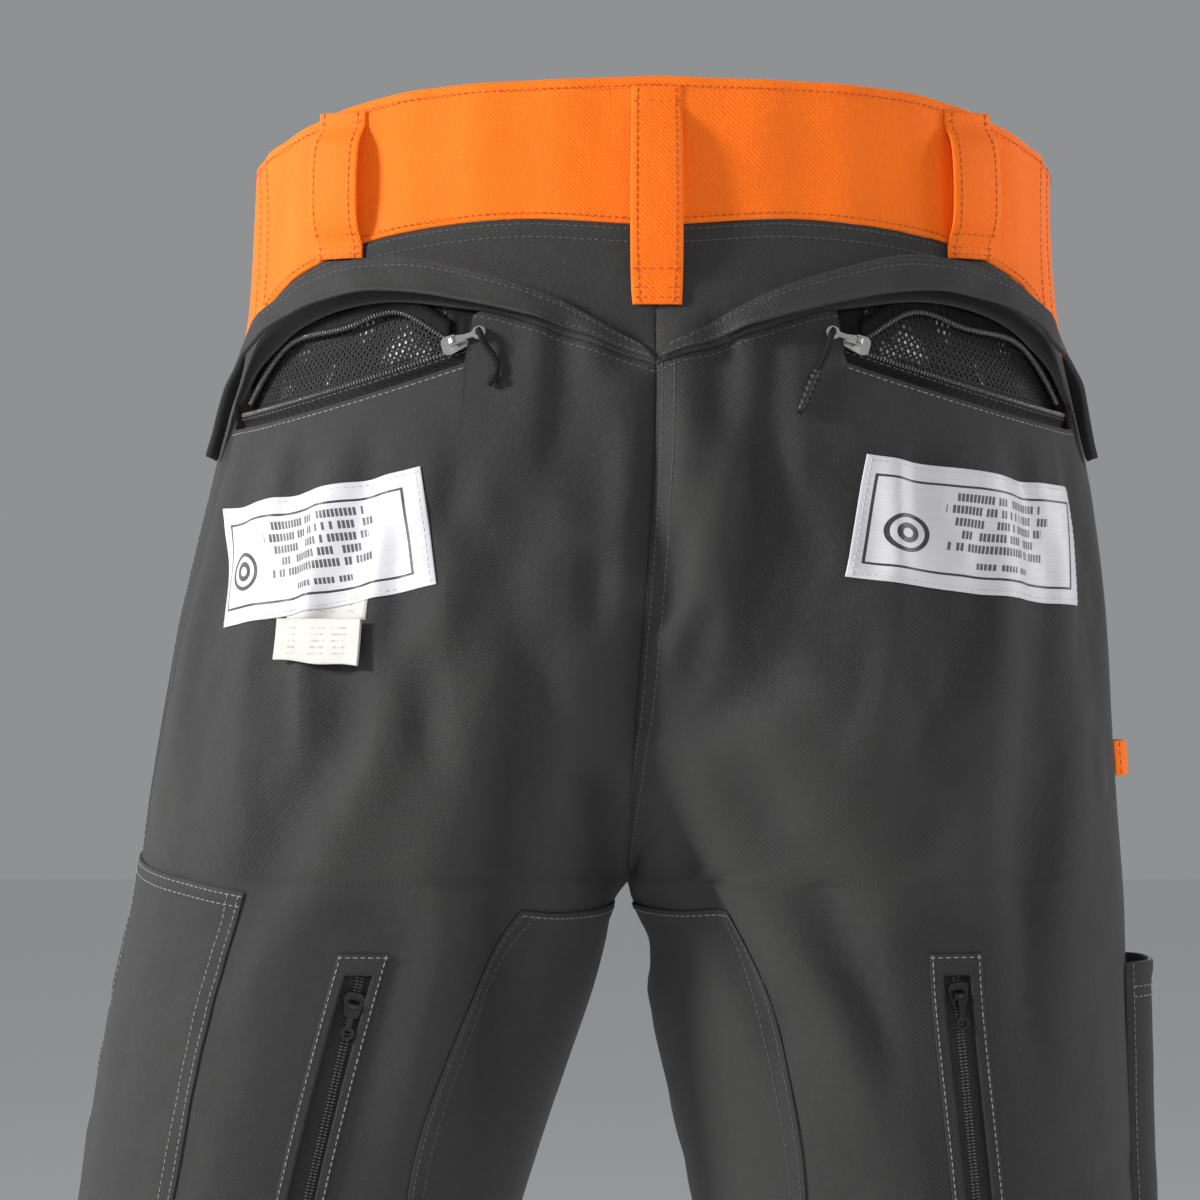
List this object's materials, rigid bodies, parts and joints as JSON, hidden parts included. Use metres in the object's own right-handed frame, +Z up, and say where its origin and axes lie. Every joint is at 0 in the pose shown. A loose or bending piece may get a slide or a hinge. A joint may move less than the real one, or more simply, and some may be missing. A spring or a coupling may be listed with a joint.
{
  "type": "chainsaw chaps",
  "caption": "Chainsaw protective trousers standing as worn, with an orange waistband, open rear vents, saw-stopping pads in the legs and zipped vents behind the thighs.",
  "frame": {"origin": "centre of the bounding box in plan, at the bottom of the cuffs", "axes": "+Z up, +Y the way the wearer faces (the fly), +X the wearer's right, so the back of the garment faces -Y"},
  "size_m": [0.656, 0.2668, 1.176],
  "materials": {
    "shell_cloth": "stretch-woven nylon in dark grey, matte with a faint weave and a soft sheen",
    "patch_cloth": "tougher plain-woven nylon in darker grey, matte",
    "orange_cloth": "bright orange woven cloth, matte, stitched in matching thread",
    "zip_tape": "black woven zip tape with a black nylon coil",
    "slider_metal": "nickel-plated die-cast metal, lightly worn",
    "cord_black": "black braided cord with a moulded rubber sleeve at its end",
    "mesh_black": "black warp-knit mesh with small round holes",
    "label_satin": "white polyester satin with a printed black frame",
    "care_tape": "ivory woven label tape, folded to a loop",
    "saw_stop_fibre": "pale yellow layers of long loose-knit fibre",
    "lining_cloth": "light grey smooth polyester lining",
    "button_plastic": "moulded black plastic, satin"
  },
  "bodies": {
    "trousers": {"seat_panel_left": "shell_cloth", "seat_panel_right": "shell_cloth", "thigh_panel_left": "shell_cloth", "thigh_panel_right": "shell_cloth", "calf_panel_left": "shell_cloth", "calf_panel_right": "shell_cloth", "shin_panel_left": "shell_cloth", "shin_panel_right": "shell_cloth", "yoke_left": "shell_cloth", "yoke_right": "shell_cloth", "ruler_pocket": "shell_cloth", "inner_thigh_patch_left": "patch_cloth", "inner_thigh_patch_right": "patch_cloth", "side_patch_left": "patch_cloth", "leg_vent_left_placket": "patch_cloth", "leg_vent_right_placket": "patch_cloth", "cuff_left": "patch_cloth", "cuff_right": "patch_cloth", "waistband_back": "orange_cloth", "waistband_front_left": "orange_cloth", "waistband_front_right": "orange_cloth", "belt_loop_back_middle": "orange_cloth", "belt_loop_back_left": "orange_cloth", "belt_loop_back_right": "orange_cloth", "belt_loop_front_left": "orange_cloth", "belt_loop_front_right": "orange_cloth", "side_tab": "orange_cloth", "vent_zip_fixed_left": "zip_tape", "vent_zip_fixed_right": "zip_tape", "vent_zip_free_left": "zip_tape", "vent_zip_free_right": "zip_tape", "leg_vent_left_zip": "zip_tape", "leg_vent_right_zip": "zip_tape", "fly_zip": "zip_tape", "vent_mesh_left": "mesh_black", "vent_mesh_right": "mesh_black", "label_left": "label_satin", "label_right": "label_satin", "saw_stop_pad_left": "saw_stop_fibre", "saw_stop_pad_right": "saw_stop_fibre", "leg_lining_left": "lining_cloth", "leg_lining_right": "lining_cloth", "waist_button": "button_plastic"},
    "vent_slider_left": {"vent_slider_left": "slider_metal"},
    "vent_slider_right": {"vent_slider_right": "slider_metal"},
    "vent_pull_left": {"vent_pull_left": "slider_metal", "vent_cord_left": "cord_black"},
    "vent_pull_right": {"vent_pull_right": "slider_metal", "vent_cord_right": "cord_black"},
    "vent_flap_left": {"vent_flap_left": "shell_cloth"},
    "vent_flap_right": {"vent_flap_right": "shell_cloth"},
    "leg_vent_slider_left": {"leg_vent_left_slider": "slider_metal"},
    "leg_vent_slider_right": {"leg_vent_right_slider": "slider_metal"},
    "leg_vent_pull_left": {"leg_vent_left_pull": "slider_metal"},
    "leg_vent_pull_right": {"leg_vent_right_pull": "slider_metal"},
    "fly_slider": {"fly_slider": "slider_metal"},
    "fly_pull": {"fly_pull": "slider_metal"},
    "fly_flap": {"fly_flap": "shell_cloth"},
    "care_tag": {"care_tag": "care_tape"}
  },
  "joints": [
    {"name": "vent_zip_left", "type": "hinge", "parent": "trousers", "child": "vent_slider_left", "pos_m": [-0.03479, 0.01914, 1.0638], "axis": [-0.3156, -0.0891, 0.9447], "range_deg": [-51.32, 0], "deforming": ["vent_zip_free_left", "vent_cord_left"]},
    {"name": "vent_pull_left", "type": "hinge", "parent": "vent_slider_left", "child": "vent_pull_left", "pos_m": [-0.04467, -0.11154, 1.05131], "axis": [0.2363, -0.4308, -0.871], "range_deg": [0, 150]},
    {"name": "vent_flap_left", "type": "slide", "parent": "trousers", "child": "vent_flap_left", "axis": [0.1196, 0.2153, 0.9692], "range_m": [-0.034, 0]},
    {"name": "leg_vent_zip_left", "type": "slide", "parent": "trousers", "child": "leg_vent_slider_left", "axis": [0.2324, -0.1272, 0.9643], "range_m": [-0.178, 0]},
    {"name": "leg_vent_pull_left", "type": "hinge", "parent": "leg_vent_slider_left", "child": "leg_vent_pull_left", "pos_m": [-0.09114, -0.10457, 0.74127], "axis": [-0.9722, -0.0577, 0.2267], "range_deg": [0, 150]},
    {"name": "vent_zip_right", "type": "hinge", "parent": "trousers", "child": "vent_slider_right", "pos_m": [0.13492, 0.01838, 1.06361], "axis": [-0.3154, 0.0886, -0.9448], "range_deg": [-51.54, 0], "deforming": ["vent_zip_free_right", "vent_cord_right"]},
    {"name": "vent_pull_right", "type": "hinge", "parent": "vent_slider_right", "child": "vent_pull_right", "pos_m": [0.14465, -0.11156, 1.05126], "axis": [0.2387, 0.4219, 0.8746], "range_deg": [0, 150]},
    {"name": "vent_flap_right", "type": "slide", "parent": "trousers", "child": "vent_flap_right", "axis": [-0.1147, 0.2154, 0.9698], "range_m": [-0.034, 0]},
    {"name": "leg_vent_zip_right", "type": "slide", "parent": "trousers", "child": "leg_vent_slider_right", "axis": [-0.1, -0.1279, 0.9867], "range_m": [-0.178, 0]},
    {"name": "leg_vent_pull_right", "type": "hinge", "parent": "leg_vent_slider_right", "child": "leg_vent_pull_right", "pos_m": [0.19227, -0.10275, 0.74608], "axis": [-0.977, -0.1752, -0.1217], "range_deg": [0, 150]},
    {"name": "fly_zip", "type": "slide", "parent": "trousers", "child": "fly_slider", "axis": [0.0417, 0.0503, 0.9979], "range_m": [-0.056, 0]},
    {"name": "fly_pull", "type": "hinge", "parent": "fly_slider", "child": "fly_pull", "pos_m": [0.04928, 0.12533, 1.03076], "axis": [0.9991, 0, -0.0418], "range_deg": [0, 10]},
    {"name": "fly_flap", "type": "hinge", "parent": "trousers", "child": "fly_flap", "pos_m": [0.01773, 0.12612, 0.93984], "axis": [-0.0219, 0.009, 0.9997], "range_deg": [0, 110]},
    {"name": "care_tag", "type": "hinge", "parent": "trousers", "child": "care_tag", "pos_m": [-0.10634, -0.11644, 0.92234], "axis": [-0.888, 0.4598, 0], "range_deg": [0, 95]}
  ]
}
